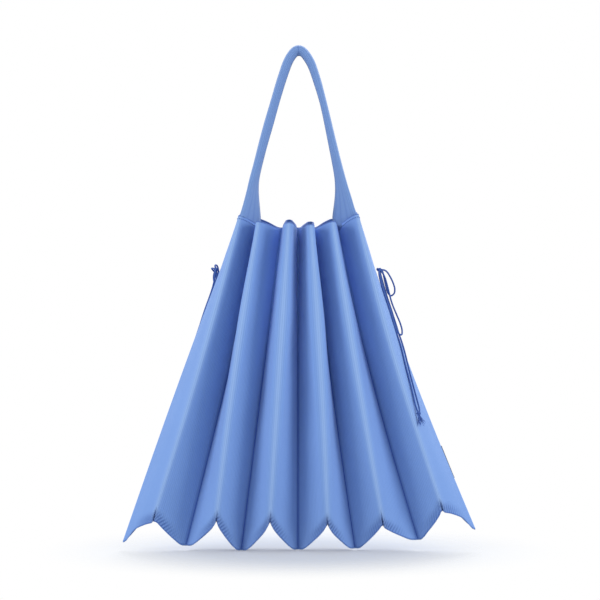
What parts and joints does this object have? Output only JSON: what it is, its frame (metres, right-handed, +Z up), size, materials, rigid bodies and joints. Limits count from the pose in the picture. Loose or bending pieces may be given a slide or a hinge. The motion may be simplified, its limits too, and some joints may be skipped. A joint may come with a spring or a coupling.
{
  "type": "accordion bag",
  "caption": "Knitted accordion-pleated tote that fans out from a small mouth to a zigzag hem, hanging by one folded strap with string ties at its sides.",
  "frame": {"origin": "underside of the strap at its top, where a hook, a hand or a shoulder carries the bag", "axes": "+Z up along the hanging bag, -Y towards the front, +X to the right side fold as seen from the front"},
  "size_m": [0.3714, 0.1246, 0.53],
  "materials": {
    "knit": "matte rib knit",
    "cord_yarn": "matte twisted string",
    "tag_cloth": "matte woven tape"
  },
  "bodies": {
    "root": {"pleated_body": "knit", "strap": "knit", "side_tag": "tag_cloth", "tie_left_knot": "cord_yarn", "tie_left_loop_short": "cord_yarn", "tie_left_loop_long": "cord_yarn", "tie_left_tail_front": "cord_yarn", "tie_left_tail_back": "cord_yarn", "tie_left_end_knot": "cord_yarn", "tie_right_knot": "cord_yarn", "tie_right_loop_short": "cord_yarn", "tie_right_loop_long": "cord_yarn", "tie_right_tail_front": "cord_yarn", "tie_right_tail_back": "cord_yarn", "tie_right_end_knot": "cord_yarn"}
  },
  "joints": []
}
